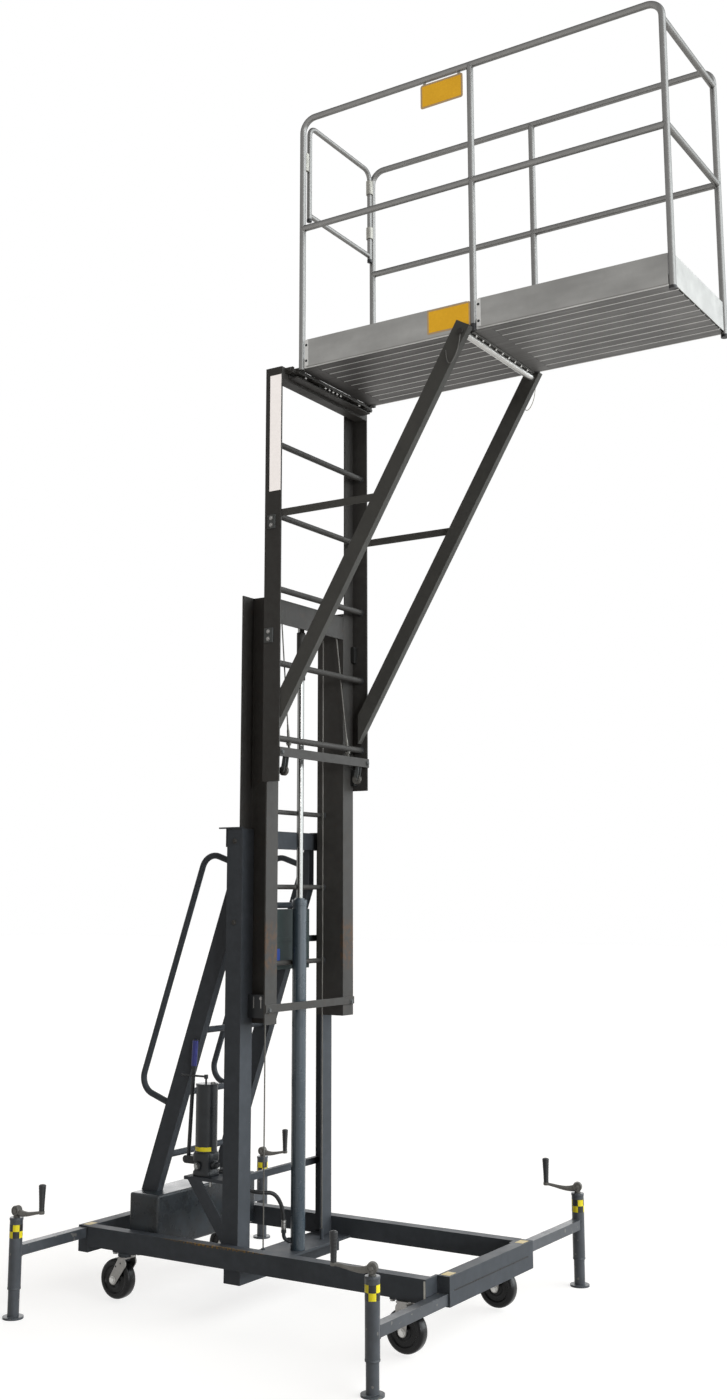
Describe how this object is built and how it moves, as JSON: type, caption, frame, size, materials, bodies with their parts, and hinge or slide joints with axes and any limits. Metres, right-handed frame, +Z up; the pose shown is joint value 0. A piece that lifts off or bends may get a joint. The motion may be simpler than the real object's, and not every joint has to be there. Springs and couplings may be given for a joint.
{
  "type": "push-around personnel lift",
  "caption": "Push-around personnel lift with a hand-pumped three-stage mast, screw jacks on sliding arms and a railed aluminium platform.",
  "frame": {"origin": "on the floor under the middle of the lift's bounding box", "axes": "+X runs from the rear handles to the end of the platform, +Y to the far side of the picture, +Z up"},
  "size_m": [2.6508, 1.7274, 4.8684],
  "materials": {
    "charcoal_paint": "semi-gloss charcoal paint, dusty and lightly worn",
    "mill_aluminium": "plain extruded aluminium, satin",
    "chromed_steel": "ground and chromed",
    "zinc_steel": "zinc plated",
    "black_rubber": "matte black",
    "black_tread": "solid black tread",
    "black_plastic": "matte black",
    "pale_slide_plastic": "matte grey slide pads",
    "rope_steel": "twisted wire rope"
  },
  "bodies": {
    "base": {"base_rails": "charcoal_paint", "arm_sleeves": "charcoal_paint", "caster_mounts": "zinc_steel", "frame_bolts": "zinc_steel", "mast_foot": "charcoal_paint", "outer_mast": "charcoal_paint", "outer_mast_pads": "pale_slide_plastic", "rear_braces": "charcoal_paint", "push_handles": "charcoal_paint", "counterweight_box": "charcoal_paint", "document_box": "charcoal_paint", "cylinder_barrel": "charcoal_paint", "pump_bracket": "charcoal_paint", "pump_body": "charcoal_paint", "pump_reservoir": "charcoal_paint", "hydraulic_hose": "black_rubber", "hose_fittings": "zinc_steel", "lower_lift_ropes": "rope_steel"},
    "middle_stage": {"middle_mast": "charcoal_paint", "middle_mast_pads": "pale_slide_plastic", "piston_rod": "chromed_steel"},
    "sheave_pair": {"lift_sheaves": "pale_slide_plastic"},
    "ladder_stage": {"ladder_rails": "charcoal_paint", "ladder_rungs": "charcoal_paint", "ladder_pads": "pale_slide_plastic", "rope_fittings": "zinc_steel", "upper_lift_ropes": "rope_steel", "platform_struts": "charcoal_paint", "cross_pipe": "zinc_steel", "pin_lanyards": "black_plastic"},
    "platform": {"deck": "mill_aluminium", "toe_boards": "mill_aluminium", "guard_rails": "mill_aluminium", "post_caps": "black_plastic", "platform_hinge": "zinc_steel", "gate_fittings": "zinc_steel"},
    "gate": {"gate_frame": "mill_aluminium"},
    "near_pin": {"near_platform_pin": "zinc_steel"},
    "far_pin": {"far_platform_pin": "zinc_steel"},
    "near_swivel": {"rear_near_fork": "zinc_steel"},
    "far_swivel": {"rear_far_fork": "zinc_steel"},
    "lever": {"pump_lever": "zinc_steel"},
    "release": {"release_lever": "zinc_steel"},
    "rear_near_arm": {"rear_near_arm": "charcoal_paint"},
    "rear_near_leg": {"rear_near_leg": "zinc_steel"},
    "rear_near_crank": {"rear_near_crank": "zinc_steel"},
    "rear_near_wheel": {"rear_near_wheel": "black_tread"},
    "rear_far_arm": {"rear_far_arm": "charcoal_paint"},
    "rear_far_leg": {"rear_far_leg": "zinc_steel"},
    "rear_far_crank": {"rear_far_crank": "zinc_steel"},
    "rear_far_wheel": {"rear_far_wheel": "black_tread"},
    "front_near_arm": {"front_near_arm": "charcoal_paint"},
    "front_near_leg": {"front_near_leg": "zinc_steel"},
    "front_near_crank": {"front_near_crank": "zinc_steel"},
    "front_near_wheel": {"front_near_wheel": "black_tread"},
    "front_far_arm": {"front_far_arm": "charcoal_paint"},
    "front_far_leg": {"front_far_leg": "zinc_steel"},
    "front_far_crank": {"front_far_crank": "zinc_steel"},
    "front_far_wheel": {"front_far_wheel": "black_tread"}
  },
  "joints": [
    {"name": "mast_lift", "type": "slide", "parent": "base", "child": "middle_stage", "axis": [0, 0, 1], "range_m": [-0.875, 0], "deforming": ["lower_lift_ropes"]},
    {"name": "sheave_turn", "type": "hinge", "parent": "middle_stage", "child": "sheave_pair", "pos_m": [-0.47755, -0.03627, 2.735], "axis": [0, -1, 0], "range_deg": [-1600, 0]},
    {"name": "ladder_lift", "type": "slide", "parent": "middle_stage", "child": "ladder_stage", "axis": [0, 0, 1], "range_m": [-0.875, 0], "deforming": ["upper_lift_ropes"]},
    {"name": "platform_fold", "type": "hinge", "parent": "ladder_stage", "child": "platform", "pos_m": [-0.33405, -0.03627, 3.735], "axis": [0, -1, 0], "range_deg": [0, 90]},
    {"name": "gate_swing", "type": "hinge", "parent": "platform", "child": "gate", "pos_m": [-0.29705, 0.21873, 4.6], "axis": [0, 0, 1], "range_deg": [0, 90]},
    {"name": "near_pin_pull", "type": "slide", "parent": "ladder_stage", "child": "near_pin", "axis": [0, -1, 0], "range_m": [0, 0.065]},
    {"name": "far_pin_pull", "type": "slide", "parent": "ladder_stage", "child": "far_pin", "axis": [0, 1, 0], "range_m": [0, 0.065]},
    {"name": "rear_near_reach", "type": "slide", "parent": "base", "child": "rear_near_arm", "axis": [0, -1, 0], "range_m": [-0.344, 0.206]},
    {"name": "rear_near_turn", "type": "hinge", "parent": "rear_near_arm", "child": "rear_near_crank", "pos_m": [-1.28545, -0.78627, 0.365], "axis": [0, 0, 1], "range_deg": [-3601, 6481]},
    {"name": "rear_near_jack", "type": "slide", "parent": "rear_near_arm", "child": "rear_near_leg", "axis": [0, 0, 1], "range_m": [-0.05, 0.09]},
    {"name": "rear_far_reach", "type": "slide", "parent": "base", "child": "rear_far_arm", "axis": [0, 1, 0], "range_m": [-0.53, 0.02]},
    {"name": "rear_far_turn", "type": "hinge", "parent": "rear_far_arm", "child": "rear_far_crank", "pos_m": [-1.28545, 0.82373, 0.365], "axis": [0, 0, 1], "range_deg": [-3601, 6481]},
    {"name": "rear_far_jack", "type": "slide", "parent": "rear_far_arm", "child": "rear_far_leg", "axis": [0, 0, 1], "range_m": [-0.05, 0.09]},
    {"name": "front_near_reach", "type": "slide", "parent": "base", "child": "front_near_arm", "axis": [0, -1, 0], "range_m": [-0.438, 0.112]},
    {"name": "front_near_turn", "type": "hinge", "parent": "front_near_arm", "child": "front_near_crank", "pos_m": [0.33735, -0.80427, 0.365], "axis": [0, 0, 1], "range_deg": [-3601, 6481]},
    {"name": "front_near_jack", "type": "slide", "parent": "front_near_arm", "child": "front_near_leg", "axis": [0, 0, 1], "range_m": [-0.05, 0.09]},
    {"name": "front_far_reach", "type": "slide", "parent": "base", "child": "front_far_arm", "axis": [0, 1, 0], "range_m": [-0.449, 0.101]},
    {"name": "front_far_turn", "type": "hinge", "parent": "front_far_arm", "child": "front_far_crank", "pos_m": [0.33735, 0.81873, 0.365], "axis": [0, 0, 1], "range_deg": [-3601, 6481]},
    {"name": "front_far_jack", "type": "slide", "parent": "front_far_arm", "child": "front_far_leg", "axis": [0, 0, 1], "range_m": [-0.05, 0.09]},
    {"name": "rear_near_swivel", "type": "hinge", "parent": "base", "child": "near_swivel", "pos_m": [-1.06905, -0.38667, 0.175], "axis": [0, 0, 1], "continuous": true},
    {"name": "rear_near_roll", "type": "hinge", "parent": "near_swivel", "child": "rear_near_wheel", "pos_m": [-1.11205, -0.38667, 0.086], "axis": [0, 1, 0], "continuous": true},
    {"name": "front_near_roll", "type": "hinge", "parent": "base", "child": "front_near_wheel", "pos_m": [0.21895, -0.38667, 0.086], "axis": [0, 1, 0], "continuous": true},
    {"name": "rear_far_swivel", "type": "hinge", "parent": "base", "child": "far_swivel", "pos_m": [-1.06905, 0.31413, 0.175], "axis": [0, 0, 1], "continuous": true},
    {"name": "rear_far_roll", "type": "hinge", "parent": "far_swivel", "child": "rear_far_wheel", "pos_m": [-1.11205, 0.31413, 0.086], "axis": [0, 1, 0], "continuous": true},
    {"name": "front_far_roll", "type": "hinge", "parent": "base", "child": "front_far_wheel", "pos_m": [0.21895, 0.31413, 0.086], "axis": [0, 1, 0], "continuous": true},
    {"name": "pump_stroke", "type": "hinge", "parent": "base", "child": "lever", "pos_m": [-0.83305, -0.30427, 0.555], "axis": [0, -1, 0], "range_deg": [0, 50]},
    {"name": "release_turn", "type": "hinge", "parent": "base", "child": "release", "pos_m": [-0.72905, -0.33127, 0.87], "axis": [0, 0, 1], "range_deg": [0, 45]}
  ],
  "couplings": [
    {"joint": "ladder_lift", "follows": "mast_lift", "ratio": 1},
    {"joint": "sheave_turn", "follows": "mast_lift", "rad_per_m": 31.746},
    {"joint": "rear_near_turn", "follows": "rear_near_jack", "rad_per_m": 1256.6},
    {"joint": "rear_far_turn", "follows": "rear_far_jack", "rad_per_m": 1256.6},
    {"joint": "front_near_turn", "follows": "front_near_jack", "rad_per_m": 1256.6},
    {"joint": "front_far_turn", "follows": "front_far_jack", "rad_per_m": 1256.6}
  ]
}
